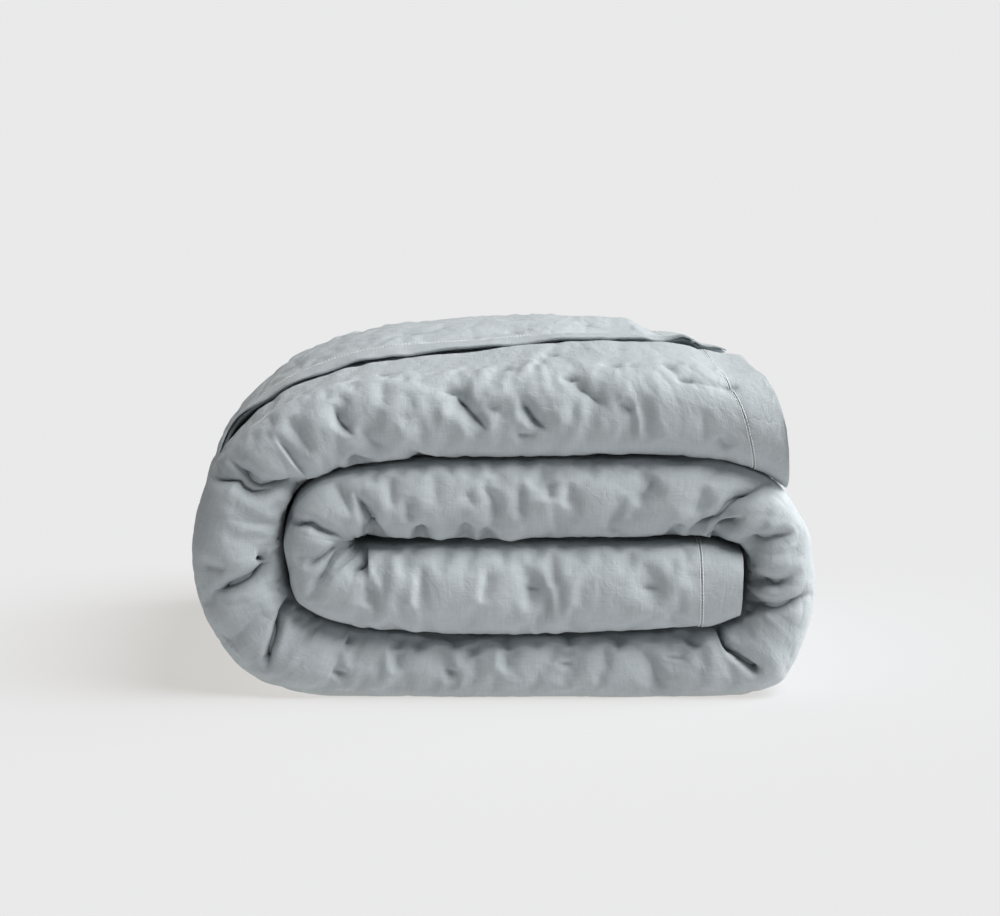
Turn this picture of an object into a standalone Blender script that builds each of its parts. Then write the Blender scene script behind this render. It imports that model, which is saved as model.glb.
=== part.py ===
"""Linen quilt: one filled sheet, folded in half, in thirds, then rolled into a flat coil."""
import math

import bmesh
import bpy

MM = 0.001

# The sheet and its folds, all in millimetres.
DEPTH = 430.0          # front fold to back fold of the folded strip
SET_BACK = 132.0       # bare front margin, up to the free edge of the outer third
HEM = 38.0             # flat unfilled border past the hem stitching
HEM_THICK = 2.6        # two cloths turned under, no wadding
RAMP = 56.0            # run over which the outer third fills out behind its hem
LAYER_GAP = 1.3        # air between neighbouring layers
WRAP_GAP = 1.1         # extra air left on each face of the coil's turns
HALF_FOLD_IN = 16.0    # how far the first half fold stands inside the back folds
TOP_CROWN = 19.0       # how much the outer third swells where nothing presses on it
CROWN_START = 50.0     # run where that swelling starts
CROWN_RISE = 290.0     # run it takes to rise
CROWN_END = 425.0      # run where it starts to fall
CROWN_FALL = 215.0     # run it takes to fall
CROWN_DEEP = 110.0     # depth it takes to rise behind the outer third's edge
CROWN_BACK = 250.0     # depth where it starts to fall to the back
END_DROP = 0.45        # how much of its lost filling the outer third sinks by at the outer end
END_BULGE = 9.0        # the outer end's edge bows out by this much halfway up
END_SKEW = 0.13        # how much the outer end leans back along the coil, per mm of depth
END_LAG = 16.0         # how much shorter the outer third falls there
SKEW_RUN = 330.0       # run over which the end's lean, bulge and lag die out
FILL_RUN = 40.0        # run over which the wadding fills the cloth behind a hem
FRONT_STEP = 10.0      # run in front of the outer third's edge where its room opens up
STATIONS = 38
HEM_STATIONS = (-4.0, 8.0, 34.0)   # stations near each hem stitching, measured from it
STATION_RUN = 180.0    # longest run between stations on a straight
STATION_TURN = 15.0    # most degrees the coil turns between stations
ON_FLOOR = 0.9         # what ends up this near the lowest point lies flat on the floor

# One row per cross cut of the coil, from the outer end on top to the inner end in the middle.
# Columns: cut, inner_x, inner_z, outer_x, outer_z, set. The cut runs from the coil's inner face to
# its outer face, and set is how far its front stands back.
CUTS = [
    ("outer end", 271, 188, 259, 300, 2),
    ("outer hem", 237, 211, 214, 301, 0),
    ("top right", 184, 223, 172, 312, 0),
    ("top rise", 100, 227, 96, 316, 0),
    ("top middle", 0, 225, -2, 311, 0),
    ("top left", -98, 223, -107, 301, 0),
    ("left shoulder", -138, 218, -155, 290, 0),
    ("left high", -169, 209, -203, 272, 0),
    ("left upper", -190, 195, -241, 245, 0),
    ("left above", -203, 176, -272, 210, 0),
    ("left side", -208, 143, -291, 141, 0),
    ("left below", -205, 107, -283, 82, 1),
    ("left lower", -194, 86, -262, 39, 3),
    ("left foot", -173, 75, -220, 9, 5),
    ("bottom left", -133, 63, -162, 0, 6),
    ("bottom middle", -10, 56, -10, 0, 6),
    ("bottom right", 120, 60, 128, 0, 6),
    ("right foot", 190, 64, 214, 0, 5),
    ("right lower", 219, 72, 256, 11, 3),
    ("right below", 226, 88, 277, 43, 2),
    ("right side", 227.5, 110, 288, 96, 1),
    ("right above", 226.5, 127, 285, 142, 1),
    ("right upper", 219, 142, 268, 181, 1),
    ("right high", 197, 148, 237, 209, 1),
    ("second right", 150, 149.5, 162, 225.5, 1),
    ("second middle", 0, 149, 0, 225, 1),
    ("second left", -98, 149, -98, 223, 1),
    ("core shoulder", -132, 149.2, -136, 218.6, 1),
    ("core high", -137, 148.6, -170, 208.6, 1),
    ("core upper", -140.2, 147.2, -196, 187, 0),
    ("core side", -141.4, 145.2, -208.3, 144, -1),
    ("core lower", -140.2, 143.2, -197, 90, -2),
    ("core low", -137, 142, -173, 75, -2),
    ("core foot", -130, 142.6, -131, 62.6, -3),
    ("third middle", -10, 147, -10, 56, -4),
    ("third right", 120, 147, 120, 60, -4),
    ("inner hem", 186, 146.6, 188, 64, -4),
    ("inner end", 219, 138, 217.5, 77, -3),
]


def smooth(value):
    """Ease from 0 to 1."""
    value = min(1.0, max(0.0, value))
    return value * value * (3.0 - 2.0 * value)


def mix(a, b, share):
    return a + (b - a) * share


def steady_slopes(places, values):
    """Slopes that join the values smoothly and never overshoot them."""
    steps = [b - a for a, b in zip(places, places[1:])]
    rates = [(b - a) / step for a, b, step in zip(values, values[1:], steps)]
    slopes = [rates[0]]
    for i in range(1, len(rates)):
        before, after = rates[i - 1], rates[i]
        if before * after <= 0.0:
            slopes.append(0.0)
            continue
        weight_a = 2.0 * steps[i] + steps[i - 1]
        weight_b = steps[i] + 2.0 * steps[i - 1]
        slopes.append((weight_a + weight_b) / (weight_a / before + weight_b / after))
    slopes.append(rates[-1])
    return slopes


def coil_samples(per_row=24):
    """Fine run of cuts along the coil, each with its distance along the middle of the coil."""
    rows = [row[1:] for row in CUTS]
    places = [0.0]
    for a, b in zip(rows, rows[1:]):
        step_x = (b[0] + b[2] - a[0] - a[2]) / 2.0
        step_z = (b[1] + b[3] - a[1] - a[3]) / 2.0
        places.append(places[-1] + math.hypot(step_x, step_z))
    columns = list(zip(*rows))
    slopes = [steady_slopes(places, column) for column in columns]
    fine = []
    run = 0.0
    before = None
    for i in range(len(rows) - 1):
        step = places[i + 1] - places[i]
        for j in range(per_row + (i == len(rows) - 2)):
            t = j / per_row
            t2 = t * t
            t3 = t2 * t
            cut = []
            for column, slope in zip(columns, slopes):
                value = column[i] * (2 * t3 - 3 * t2 + 1) + column[i + 1] * (3 * t2 - 2 * t3)
                value += step * (slope[i] * (t3 - 2 * t2 + t) + slope[i + 1] * (t3 - t2))
                cut.append(value)
            middle = ((cut[0] + cut[2]) / 2.0, (cut[1] + cut[3]) / 2.0)
            if before is not None:
                run += math.dist(before, middle)
            before = middle
            fine.append((run, *cut))
    return fine


FINE = coil_samples()
COIL_LENGTH = FINE[-1][0]


def cut_at(run):
    """The cut at a distance along the coil."""
    run = min(max(run, 0.0), COIL_LENGTH)
    low = 0
    high = len(FINE) - 1
    while high - low > 1:
        middle = (low + high) // 2
        if FINE[middle][0] <= run:
            low = middle
        else:
            high = middle
    a = FINE[low]
    b = FINE[high]
    share = (run - a[0]) / max(b[0] - a[0], 1e-9)
    return [mix(p, q, share) for p, q in zip(a[1:], b[1:])]


def station_runs():
    """Distances of the stations: close on the turns and at the hems, wide on the straights."""
    cost = [0.0]
    for i in range(1, len(FINE)):
        angles = []
        for row in (FINE[i - 1], FINE[i]):
            angles.append(math.atan2(row[4] - row[2], row[3] - row[1]))
        turn = abs(math.remainder(angles[1] - angles[0], 2 * math.pi))
        step = (FINE[i][0] - FINE[i - 1][0]) / STATION_RUN + math.degrees(turn) / STATION_TURN
        cost.append(cost[-1] + step)
    hem_runs = [0.0] + [HEM + step for step in HEM_STATIONS]
    tail_runs = [COIL_LENGTH - r for r in reversed(hem_runs)]
    inner = STATIONS - len(hem_runs) - len(tail_runs)
    first = next(c for c, row in zip(cost, FINE) if row[0] >= hem_runs[-1])
    last = next(c for c, row in zip(cost, FINE) if row[0] >= tail_runs[0])
    runs = list(hem_runs)
    for k in range(1, inner + 1):
        goal = mix(first, last, k / (inner + 1))
        i = next(n for n, c in enumerate(cost) if c >= goal)
        runs.append(FINE[i][0])
    return runs + tail_runs


def fill_at(run):
    """How far the wadding fills the cloth: nothing in the hem border, all of it inside."""
    edge = min(run, COIL_LENGTH - run)
    return smooth((edge - HEM) / FILL_RUN)


def outer_layer(y, half):
    """Room one layer of the outer third takes at a depth, air included."""
    thin = HEM_THICK + LAYER_GAP
    if y < SET_BACK:
        return thin * smooth((y - SET_BACK + FRONT_STEP) / FRONT_STEP)
    return mix(thin, half / 3.0, smooth((y - SET_BACK - HEM) / RAMP))


def layer(name, y, half, fill):
    """Middle height and thickness of one layer at a depth, measured from the strip's middle."""
    room_outer = outer_layer(y, half)
    room = (2.0 * half - 2.0 * room_outer) / 4.0
    rank = {"a1": 0.5, "a2": 1.5, "b1": 2.5, "b2": 3.5}
    if name in rank:
        height = -half + rank[name] * room
        thick = mix(HEM_THICK, room - LAYER_GAP, fill)
        shift = (room - LAYER_GAP - thick) / 2.0
        if name == "a1":
            height -= shift
        if name == "b2":
            height += shift * (1.0 - smooth((y - SET_BACK) / HEM))
        return height, thick
    height = half - (0.5 if name == "c2" else 1.5) * room_outer
    flat = mix(HEM_THICK, room_outer - LAYER_GAP, smooth((y - SET_BACK - HEM) / RAMP))
    thick = mix(HEM_THICK, flat, fill)
    if name == "c2":
        height -= END_DROP * (flat - thick)
    return height, thick


def strip_path(half, fill):
    """The sheet's middle line through one cross section: depth, height, thickness."""
    back_on = SET_BACK + HEM + RAMP
    nose = half
    turn_back = DEPTH - 2.0 * half / 3.0
    turn_half = DEPTH - HALF_FOLD_IN - half / 3.0
    path = []

    def straight(name, depths):
        for y in depths:
            height, thick = layer(name, y, half, fill)
            path.append((y, height, thick))

    def fold(first, second, y, count, side):
        """Half circle from one layer to another; side +1 turns at the back, -1 at the front."""
        top, thick_a = layer(first, y, half, fill)
        low, thick_b = layer(second, y, half, fill)
        centre = (top + low) / 2.0
        radius = (top - low) / 2.0
        for k in range(count):
            angle = math.pi * k / (count - 1)
            reach = abs(radius) * math.sin(angle)
            thick = mix(thick_a, thick_b, k / (count - 1))
            path.append((y + side * reach, centre + radius * math.cos(angle), thick))

    outer_depths = [SET_BACK, SET_BACK + HEM, back_on]
    inner_depths = [back_on, SET_BACK + HEM, SET_BACK, SET_BACK - FRONT_STEP]
    straight("c2", outer_depths)
    fold("c2", "b1", turn_back, 5, 1)
    straight("b1", inner_depths)
    fold("b1", "a2", nose, 4, -1)
    straight("a2", reversed(inner_depths))
    fold("a2", "a1", turn_half, 3, 1)
    straight("a1", inner_depths)
    fold("a1", "b2", nose, 8, -1)
    straight("b2", [SET_BACK - FRONT_STEP] + outer_depths)
    fold("b2", "c1", turn_back, 4, 1)
    straight("c1", reversed(outer_depths))
    return path


def outline(path):
    """Closed outline of the sheet: one face out along the middle line, the other face back."""
    one_face = []
    other_face = []
    for i, (y, n, thick) in enumerate(path):
        y0, n0 = path[max(i - 1, 0)][:2]
        y1, n1 = path[min(i + 1, len(path) - 1)][:2]
        along_y = y1 - y0
        along_n = n1 - n0
        size = math.hypot(along_y, along_n)
        side_y = -along_n / size * thick / 2.0
        side_n = along_y / size * thick / 2.0
        one_face.append((y + side_y, n + side_n))
        other_face.append((y - side_y, n - side_n))
    return one_face + other_face[::-1]


def crown_at(run, y):
    """Extra height of the free top: it rises behind the outer third's edge, falls to the back."""
    along = smooth((run - CROWN_START) / CROWN_RISE) * (1.0 - smooth((run - CROWN_END) / CROWN_FALL))
    rise = smooth((y - SET_BACK) / CROWN_DEEP)
    drop = smooth((y - CROWN_BACK) / (DEPTH - CROWN_BACK))
    return TOP_CROWN * along * rise * (1.0 - 0.9 * drop)


def outer_third(height, half, y):
    """1 on the layers of the outer third, 0 on the rest of the strip."""
    edge = half - 2.0 * outer_layer(max(y, SET_BACK), half)
    return 1.0 if height > edge and y > SET_BACK - FRONT_STEP / 2.0 else 0.0


def place(run, y, height, half):
    """Point of the coil for a point of the cross section."""
    lean = 1.0 - smooth(run / SKEW_RUN)
    bulge = END_BULGE * min(abs(height) / half, 1.0) ** 2
    shift = (END_SKEW * y + END_LAG * outer_third(height, half, y) + bulge) * lean
    inner_x, inner_z, outer_x, outer_z, back = cut_at(run + shift)
    height = height + crown_at(run, y) * (height + half) / (2.0 * half)
    share = 0.5 + height / (2.0 * (half + WRAP_GAP))
    x = mix(inner_x, outer_x, share)
    z = mix(inner_z, outer_z, share)
    return x * MM, (y + back - DEPTH / 2.0) * MM, z * MM


def half_at(run):
    inner_x, inner_z, outer_x, outer_z, _ = cut_at(run)
    return math.dist((inner_x, inner_z), (outer_x, outer_z)) / 2.0 - WRAP_GAP


def build_quilt():
    mesh = bmesh.new()
    rings = []
    for run in station_runs():
        half = half_at(run)
        section = outline(strip_path(half, fill_at(run)))
        rings.append([mesh.verts.new(place(run, y, n, half)) for y, n in section])
    count = len(rings[0])
    for ring, following in zip(rings, rings[1:]):
        for i in range(count):
            j = (i + 1) % count
            corners = (ring[i], ring[j], following[j], following[i])
            mesh.faces.new(corners)
    half_count = count // 2
    for ring, flip in ((rings[0], True), (rings[-1], False)):
        for i in range(half_count - 1):
            corners = [ring[i], ring[i + 1], ring[count - 2 - i], ring[count - 1 - i]]
            if flip:
                corners.reverse()
            mesh.faces.new(corners)
    bmesh.ops.recalc_face_normals(mesh, faces=mesh.faces)
    bmesh.ops.triangulate(mesh, faces=mesh.faces)
    data = bpy.data.meshes.new("quilt")
    mesh.to_mesh(data)
    mesh.free()
    return data


def settle(data):
    """Stand the quilt on its flat underside, over the middle of its own length and depth."""
    xs = [v.co.x for v in data.vertices]
    ys = [v.co.y for v in data.vertices]
    zs = [v.co.z for v in data.vertices]
    middle_x = (min(xs) + max(xs)) / 2.0
    middle_y = (min(ys) + max(ys)) / 2.0
    for vertex in data.vertices:
        vertex.co.x -= middle_x
        vertex.co.y -= middle_y
        vertex.co.z -= min(zs)
        if vertex.co.z < ON_FLOOR * MM:
            vertex.co.z = 0.0


def linen():
    material = bpy.data.materials.new("stonewashed linen")
    material.use_nodes = True
    shader = material.node_tree.nodes["Principled BSDF"]
    shader.inputs["Base Color"].default_value = (0.36, 0.41, 0.43, 1.0)
    shader.inputs["Roughness"].default_value = 0.92
    shader.inputs["Metallic"].default_value = 0.0
    return material


def main():
    for thing in list(bpy.data.objects):
        bpy.data.objects.remove(thing, do_unlink=True)
    data = build_quilt()
    settle(data)
    data.materials.append(linen())
    quilt = bpy.data.objects.new("quilt", data)
    bpy.context.scene.collection.objects.link(quilt)


main()
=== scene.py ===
import math

import bpy
import numpy as np
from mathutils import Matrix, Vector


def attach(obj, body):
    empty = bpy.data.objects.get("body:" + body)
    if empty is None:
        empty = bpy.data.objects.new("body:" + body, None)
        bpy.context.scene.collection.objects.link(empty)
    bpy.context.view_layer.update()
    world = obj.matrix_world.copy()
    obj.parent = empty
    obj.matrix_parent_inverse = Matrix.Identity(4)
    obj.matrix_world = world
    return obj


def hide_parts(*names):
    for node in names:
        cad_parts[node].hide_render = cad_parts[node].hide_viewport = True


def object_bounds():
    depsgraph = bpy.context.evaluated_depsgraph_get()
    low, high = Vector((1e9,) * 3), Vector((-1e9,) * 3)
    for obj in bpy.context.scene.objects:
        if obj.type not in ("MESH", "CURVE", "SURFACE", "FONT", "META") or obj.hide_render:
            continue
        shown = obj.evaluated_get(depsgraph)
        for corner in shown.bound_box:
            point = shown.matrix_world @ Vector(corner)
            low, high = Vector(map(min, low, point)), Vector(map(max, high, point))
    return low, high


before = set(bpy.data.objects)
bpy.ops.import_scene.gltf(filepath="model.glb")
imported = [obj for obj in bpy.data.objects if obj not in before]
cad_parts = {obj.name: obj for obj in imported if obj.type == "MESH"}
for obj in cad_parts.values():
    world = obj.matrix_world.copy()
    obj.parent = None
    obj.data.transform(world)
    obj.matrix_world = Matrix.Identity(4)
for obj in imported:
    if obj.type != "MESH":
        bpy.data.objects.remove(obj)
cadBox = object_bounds()
mm = 0.001

# Sizes of the folded sheet, in millimetres. Its depth, hems and folds are the CAD part's, the gaps are
# narrower than there, and the outer end has the cloth's own shape.
quiltPlan = {
    "depth": 430.0,        # front fold to back fold
    "setBack": 132.0,      # bare front margin, up to the free edge of the outer third
    "hem": 38.0,           # flat unfilled border
    "hemThick": 2.4,       # cloth turned under, no wadding
    "hemFill": 34.0,       # run over which the sheet fills out behind its end hems
    "ramp": 56.0,          # depth over which the outer third fills out behind its hem
    "underReach": 9.0,     # the lower hem of the outer third stands this far behind the upper
    "layerGap": 0.9,
    "wrapGap": 0.3,
    "halfFoldIn": 16.0,    # the half fold stays this far in front of the other back folds
    "nosePower": 2.35,     # over 2 the front fold is fuller than a half circle
    "noseDepth": 0.92,     # depth of the front fold against its half height
    "shownFront": 136.0,   # depth up to which the front margin shows from above
    "shownMouth": 60.0,    # and up to which the groove between two turns can be looked into
    "outerTurn": (1330.0, 1390.0),  # run over which the outermost turn goes under itself
    "endDrop": 0.45,       # how much of its lost filling the outer third sinks by at the outer end
    "endTrim": 4.0,        # the hem's corner draws back by this much
    "endBulge": 8.0,       # and its upper edge by this much more
    "endSkew": 0.13,       # how much the outer end leans back along the coil, per mm of depth
    "endLag": 10.0,        # how much shorter the outer third falls there
    "skewRun": 330.0,      # run over which all four die out
    "stand": (3.0, -0.8, 0.0),  # from the table below to the middle of the box
    "step": 2.2,           # mesh spacing along the longer face of the coil
    "roundRun": 1.4,       # run over which the cloth's ends round off
    "seamReach": 5.0,      # the mesh is finer this far from the hem stitching
}

# One row per cross cut of the coil: name, inner face x and z, outer face x and z, how far its
# front stands back. The underside would reach a little below the table, and is flattened on it.
coilCuts = [
    ("outer end", 269, 188, 257, 306, 2),
    ("outer hem", 236, 211, 213, 304, 0),
    ("top right", 184, 223, 172, 312, 0),
    ("top rise", 100, 227, 96, 316, 0),
    ("top middle", 0, 225, -2, 311, 0),
    ("top left", -98, 223, -107, 301, 0),
    ("left shoulder", -138, 218, -155, 290, 0),
    ("left high", -169, 209, -203, 272, 0),
    ("left upper", -190, 195, -241, 245, 0),
    ("left above", -203, 176, -272, 210, 0),
    ("left side", -208, 143, -291, 141, 0),
    ("left below", -205, 107, -283, 82, 1),
    ("left lower", -194, 86, -262, 39, 3),
    ("left foot", -173, 75, -220, 6, 5),
    ("bottom left", -133, 63, -162, -6, 6),
    ("bottom middle", -10, 56, -10, -6, 6),
    ("bottom right", 120, 60, 128, -6, 6),
    ("right foot", 190, 64, 214, -5, 5),
    ("right lower", 219, 72, 256, 9, 3),
    ("right below", 226, 88, 277, 43, 2),
    ("right side", 227.5, 110, 288, 96, 1),
    ("right above", 226.5, 127, 285, 142, 1),
    ("right upper", 219, 142, 268, 181, 1),
    ("right high", 197, 148, 237, 209, 1),
    ("second right", 150, 149.5, 162, 225.5, 1),
    ("second middle", 0, 149, 0, 225, 1),
    ("second left", -98, 149, -98, 223, 1),
    ("core shoulder", -132, 149.2, -136, 218.6, 1),
    ("core high", -137, 148.6, -170, 208.6, 1),
    ("core upper", -140.2, 147.2, -196, 187, 0),
    ("core side", -141.4, 145.2, -208.3, 144, -1),
    ("core lower", -140.2, 143.2, -197, 90, -2),
    ("core low", -137, 142, -173, 75, -2),
    ("core foot", -130, 142.6, -131, 62.6, -3),
    ("third middle", -10, 147, -10, 56, -4),
    ("third right", 120, 147, 120, 60, -4),
    ("inner hem", 186, 146.6, 188, 64, -4),
    ("inner end", 221, 138, 219, 77, -3),
]


def ease(value):
    # 0 to 1 with no corner at either end: 3t^2 - 2t^3
    value = np.clip(value, 0.0, 1.0)
    return value * value * (3.0 - 2.0 * value)


def rising(value, start, end):
    # 0 up to start, 1 from end on, eased between them
    return ease((value - start) / (end - start))


def falling(value, start, end):
    return 1.0 - rising(value, start, end)


def mix(a, b, share):
    return a + (b - a) * share


def unitVectors(vectors):
    # each divided by its own length
    return vectors / np.maximum(np.linalg.norm(vectors, axis=-1, keepdims=True), 1e-9)


def travelAlong(line):
    # Distance travelled along a line of points, at each of them.
    return np.concatenate([[0.0], np.cumsum(np.linalg.norm(np.diff(line, axis=0), axis=1))])


def steadyCurve(places, values, at):
    # Cubic pieces through the values, with slopes that never overshoot them.
    step = np.diff(places)
    rate = np.diff(values) / step
    before, after = rate[:-1], rate[1:]
    weightA = 2.0 * step[1:] + step[:-1]
    weightB = step[1:] + 2.0 * step[:-1]
    safeA = np.where(before == 0.0, 1.0, before)
    safeB = np.where(after == 0.0, 1.0, after)
    middle = (weightA + weightB) / (weightA / safeA + weightB / safeB)
    middle = np.where(before * after > 0.0, middle, 0.0)
    slope = np.concatenate([rate[:1], middle, rate[-1:]])
    i = np.clip(np.searchsorted(places, at, side="right") - 1, 0, len(step) - 1)
    t = (at - places[i]) / step[i]
    value = values[i] * (2 * t**3 - 3 * t**2 + 1) + values[i + 1] * (3 * t**2 - 2 * t**3)
    return value + step[i] * (slope[i] * (t**3 - 2 * t**2 + t) + slope[i + 1] * (t**3 - t**2))


def coilTable():
    # The cuts sampled every millimetre or so, against the distance along the coil's middle.
    rows = np.array([row[1:] for row in coilCuts], float)
    places = travelAlong((rows[:, 0:2] + rows[:, 2:4]) / 2.0)
    at = np.linspace(0.0, places[-1], 2400)
    fine = np.stack([steadyCurve(places, column, at) for column in rows.T], axis=1)
    return travelAlong((fine[:, 0:2] + fine[:, 2:4]) / 2.0), fine


coilRun, coilFine = coilTable()
coilLength = coilRun[-1]
print("coil length along its middle, mm:", round(coilLength))


def cutAt(run, column):
    return np.interp(run, coilRun, coilFine[:, column])


def stationRuns():
    # Evenly spaced on whichever face of the coil is longer at each place, with three close cuts at each
    # end of the cloth and a cut each millimetre at the hem stitching.
    p = quiltPlan
    inner, outer = (np.linalg.norm(np.diff(coilFine[:, i:i + 2], axis=0), axis=1) for i in (0, 2))
    travel = np.concatenate([[0.0], np.cumsum(np.max([inner, outer, np.diff(coilRun)], axis=0))])
    runs = np.interp(np.linspace(0.0, travel[-1], int(travel[-1] / p["step"])), travel, coilRun)
    edge = np.array([0.0, 0.5, p["roundRun"]])
    seam = p["hem"] + np.linspace(-p["seamReach"], p["seamReach"], 11)
    clear = (runs > 3.0) & (runs < coilLength - 3.0)
    for middle in (p["hem"], coilLength - p["hem"]):
        clear &= np.abs(runs - middle) > p["seamReach"] + 1.0
    return np.sort(np.concatenate([edge, seam, coilLength - seam, coilLength - edge, runs[clear]]))


def outerRoom(y, half):
    # Room one layer of the outer third takes: none in front, its hem's thickness, then a third.
    p = quiltPlan
    thin = p["hemThick"] + p["layerGap"]
    hemEnd = p["setBack"] + p["hem"]
    front = thin * rising(y, p["setBack"] - 10.0, p["setBack"])
    return np.where(y < p["setBack"], front, mix(thin, half / 3.0, rising(y, hemEnd, hemEnd + p["ramp"])))


def layerAt(name, y, half, fill, roundEnd):
    # Middle height and thickness of one of the six layers: a1, a2, b1, b2, c1, c2 from the coil's inner
    # face. Where the filling runs out at the ends, a1 keeps to that face, the front of b2 to the outer
    # face, and c2 sinks.
    p = quiltPlan
    room = outerRoom(y, half)
    rank = {"a1": 0.5, "a2": 1.5, "b1": 2.5, "b2": 3.5}
    hemEnd = p["setBack"] + p["hem"]
    if name in rank:
        share = (half - room) / 2.0
        full = share - p["layerGap"]
        thick = mix(p["hemThick"], full, fill)
        height = rank[name] * share - half
        if name == "a1":
            height = height - (full - thick) / 2.0
        if name == "b2":
            height = height + (full - thick) / 2.0 * falling(y, p["setBack"], hemEnd)
        return height, thick * roundEnd
    height = half - (0.5 if name == "c2" else 1.5) * room
    full = mix(p["hemThick"], room - p["layerGap"], rising(y, hemEnd, hemEnd + p["ramp"]))
    thick = mix(p["hemThick"], full, fill)
    if name == "c2":
        height = height - p["endDrop"] * (full - thick)
    return height, thick * roundEnd


def straightFace(name, yFrom, yTo, count, side, station):
    # One face of a straight layer, between two depths; side is +1 for its upper face.
    y = mix(yFrom, yTo, np.arange(count)[None, :] / count) + 0.0 * station[0]
    height, thick = layerAt(name, y, *station)
    return y, height + side * thick / 2.0


def foldFace(first, second, y, count, turn, grow, station):
    # Half circle from one layer's face round to the other's: turn +1 is a back fold, grow +1 its outside.
    heightA, thickA = layerAt(first, y, *station)
    heightB, thickB = layerAt(second, y, *station)
    u = np.arange(count)[None, :] / count
    radius = (heightA - heightB) / 2.0
    reach = np.maximum(np.abs(radius) + grow * mix(thickA, thickB, u) / 2.0, 0.25)
    height = (heightA + heightB) / 2.0 + np.sign(radius) * reach * np.cos(math.pi * u)
    return y + turn * reach * np.sin(math.pi * u), height


def noseFace(count, station):
    # The front fold's outside: a squared ellipse from the inner face round to the outer one, y = deep *
    # (1 - cos^power) and height = outer * sin^power.
    p = quiltPlan
    angle = math.pi * (np.arange(count)[None, :] / count - 0.5)
    power = 2.0 / p["nosePower"]
    y = station[0] * p["noseDepth"] * (1.0 - np.cos(angle) ** power)
    outer = station[0] - p["layerGap"] / 2.0
    return y, outer * np.sign(np.sin(angle)) * np.abs(np.sin(angle)) ** power


def sectionFaces(station):
    # The two faces of the sheet across one cut, from the outer third's free edge to its lower hem. The face
    # cloth is fine where it shows, and the backing is coarse, since it lies between the layers.
    p = quiltPlan
    half = station[0]
    front = p["setBack"]
    hemEnd = front + p["hem"]
    filled = hemEnd + p["ramp"]
    tuck = front - 12.0   # the cloth below the free edge is fine up to here
    inside = 90.0         # and the coil's inner face up to here
    nose = half * p["noseDepth"]
    turnBack = p["depth"] - 2.0 * half / 3.0
    turnHalf = p["depth"] - p["halfFoldIn"] - half / 3.0

    def straight(name, yFrom, yTo, side, faceCount, backCount):
        return [(name, straightFace(name, yFrom, yTo, count, way, station))
                for count, way in ((faceCount, side), (backCount, -side))]

    def fold(name, first, second, y, turn, grow, faceCount, backCount):
        return [(label, foldFace(first, second, y, count, turn, way, station))
                for label, count, way in ((name, faceCount, grow), ("hidden", backCount, -grow))]

    frontFold = [("nose", noseFace(72, station)),
                 ("hidden", foldFace("a1", "b2", nose, 9, -1, -1, station))]
    pairs = [
        straight("c2", front, hemEnd, 1, 16, 4),
        straight("c2", hemEnd, filled, 1, 20, 4),
        straight("c2", filled, turnBack, 1, 40, 3),
        fold("backFold", "c2", "b1", turnBack, 1, 1, 20, 6),
        straight("b1", turnBack, filled, -1, 3, 3),
        straight("b1", filled, nose, -1, 5, 5),
        fold("hidden", "b1", "a2", nose, -1, -1, 5, 6),
        straight("a2", nose, filled, 1, 5, 5),
        straight("a2", filled, turnHalf, 1, 3, 3),
        fold("halfFold", "a2", "a1", turnHalf, 1, 1, 12, 5),
        straight("a1", turnHalf, filled, -1, 3, 3),
        straight("a1", filled, inside, -1, 6, 2),
        straight("a1", inside, nose, -1, 13, 4),
        frontFold,
        straight("b2", nose, tuck, 1, 30, 4),
        straight("b2", tuck, hemEnd, 1, 9, 5),
        straight("b2", hemEnd, turnBack, 1, 6, 5),
        fold("hidden", "b2", "c1", turnBack, 1, -1, 5, 5),
        straight("c1", turnBack, hemEnd, -1, 6, 5),
        straight("c1", hemEnd, front + p["underReach"], -1, 5, 5),
    ]
    faceCloth, backing = zip(*pairs)
    return joinFaces(faceCloth), joinFaces(backing)


def joinFaces(pieces):
    # Each piece stands for an equal share of the sheet's width in place, so that both faces match up.
    y, height = (np.concatenate([part[i] for _, part in pieces], axis=1) for i in (0, 1))
    counts = [part[0].shape[1] for _, part in pieces]
    names = np.repeat([name for name, _ in pieces], counts)
    place = np.concatenate([i + np.arange(count) / count for i, count in enumerate(counts)])
    return {"y": y, "height": height, "names": names, "place": place}


# Rises and drops of the free top: how far in mm, the run over which each comes, the run over which it
# goes, the depths behind the free edge over which it comes and goes, and the share of it that goes there.
crowns = [
    (15.0, (80, 360), (425, 640), (-65, 110), (118, 298), 0.9),  # the whole top
    (9.5, (-40, 20), (150, 340), (-82, -7), (20, 80), 1.0),      # at the free edge near the outer end
    (-6.0, (-60, 0), (90, 220), (28, 88), (298, 299), 0.0),      # behind the hem there
    (3.5, (300, 420), (610, 700), (-27, 3), (298, 299), 0.0),    # over the left turn
]


def crownAt(run, y):
    # Sum of the crowns, each eased in and out along the run and across the sheet.
    total = 0.0
    for amount, comes, goes, comesBehind, goesBehind, share in crowns:
        behind = y - quiltPlan["setBack"]
        across = rising(behind, *comesBehind) * (1.0 - share * rising(behind, *goesBehind))
        total = total + amount * rising(run, *comes) * falling(run, *goes) * across
    return total


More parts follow.
